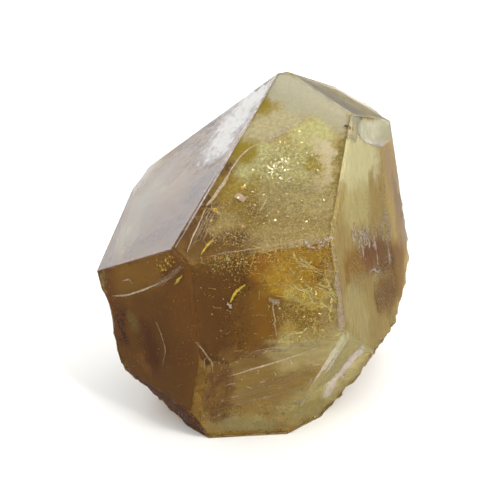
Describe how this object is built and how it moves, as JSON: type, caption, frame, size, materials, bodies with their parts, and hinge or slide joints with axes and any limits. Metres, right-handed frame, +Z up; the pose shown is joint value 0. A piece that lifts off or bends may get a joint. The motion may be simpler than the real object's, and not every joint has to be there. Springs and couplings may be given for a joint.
{
  "type": "barite crystal",
  "caption": "Blocky single crystal of see-through honey barite with a slanted pointed end, narrowed sides, chipped edges and a flat broken base it rests on.",
  "frame": {"origin": "on the surface it stands on, under the middle of its box, at the flat broken base", "axes": "+Z up from the base to the tip, -Y out of the front face below the tip, +X towards the steep right side"},
  "size_m": [0.0542, 0.0442, 0.0551],
  "materials": {
    "crystal": "clear honey barite, glassy faces with frosted, striated and chipped patches"
  },
  "bodies": {
    "root": {"crystal": "crystal"}
  },
  "joints": []
}
